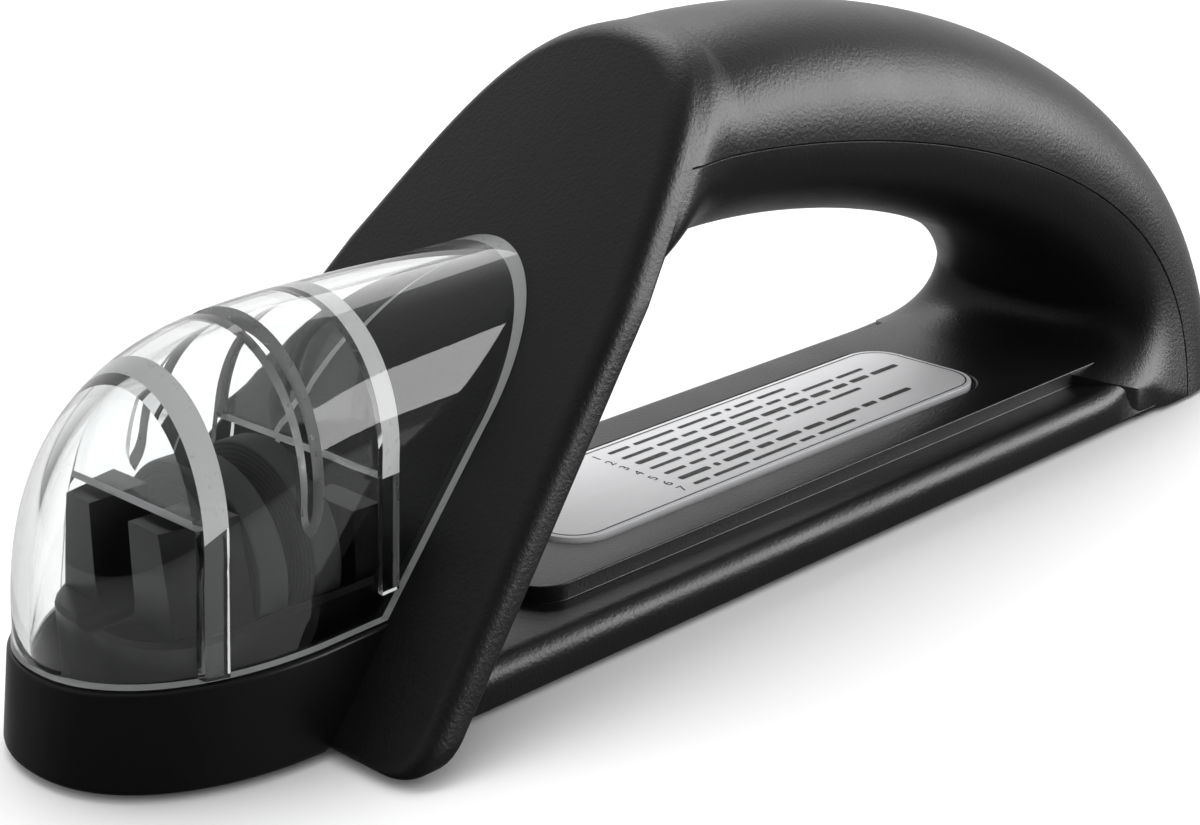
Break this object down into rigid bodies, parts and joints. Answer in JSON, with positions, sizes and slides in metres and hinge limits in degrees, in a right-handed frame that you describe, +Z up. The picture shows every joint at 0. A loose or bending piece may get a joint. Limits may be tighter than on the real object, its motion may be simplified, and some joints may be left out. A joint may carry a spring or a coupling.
{
  "type": "hand-held knife sharpener",
  "caption": "Hand-held knife sharpener: arched handle on a flat base, leaning hand shield, and a water tray with ceramic wheels under a clear slotted lift-off cover.",
  "frame": {"origin": "under the middle of the length, on the surface that the feet stand on", "axes": "+X from the nose of the tray to the rear of the handle, +Y to the right of a person who pushes the nose forward (the picture's far side), +Z up"},
  "size_m": [0.228, 0.068, 0.0732],
  "materials": {
    "black_plastic": "fine spark-eroded grain",
    "smooth_plastic": "smooth satin",
    "clear_plastic": "clear, polished",
    "ceramic": "matt with turning rings",
    "steel": "turned",
    "nylon": "smooth",
    "rubber": "matt",
    "label": "satin silver-white"
  },
  "bodies": {
    "base": {"shield": "black_plastic", "grip_cover": "black_plastic", "body_shell": "black_plastic", "label_plate": "label", "base_plate": "black_plastic", "front_tray": "smooth_plastic", "wheel_cradle": "smooth_plastic", "axle": "steel", "front_washer": "nylon", "middle_washer": "nylon", "rear_washer": "nylon", "deck_screw_1": "steel", "deck_screw_2": "steel", "deck_screw_3": "steel", "deck_screw_4": "steel", "tray_screw_left": "steel", "tray_screw_right": "steel", "foot_1": "rubber", "foot_2": "rubber", "foot_3": "rubber", "foot_4": "rubber", "foot_5": "rubber", "foot_6": "rubber"},
    "front_wheel_set": {"front_wheel": "ceramic", "front_bush": "nylon"},
    "rear_wheel_set": {"rear_wheel": "ceramic", "rear_bush": "nylon"},
    "cover": {"clear_cover": "clear_plastic"}
  },
  "joints": [
    {"name": "front_wheel_spin", "type": "hinge", "parent": "base", "child": "front_wheel_set", "pos_m": [-0.0841, 0, 0.0199], "axis": [1, 0, 0], "continuous": true},
    {"name": "rear_wheel_spin", "type": "hinge", "parent": "base", "child": "rear_wheel_set", "pos_m": [-0.0841, 0, 0.0199], "axis": [1, 0, 0], "continuous": true},
    {"name": "cover_lift", "type": "slide", "parent": "base", "child": "cover", "axis": [0, 0, 1], "range_m": [0, 0.05]}
  ]
}
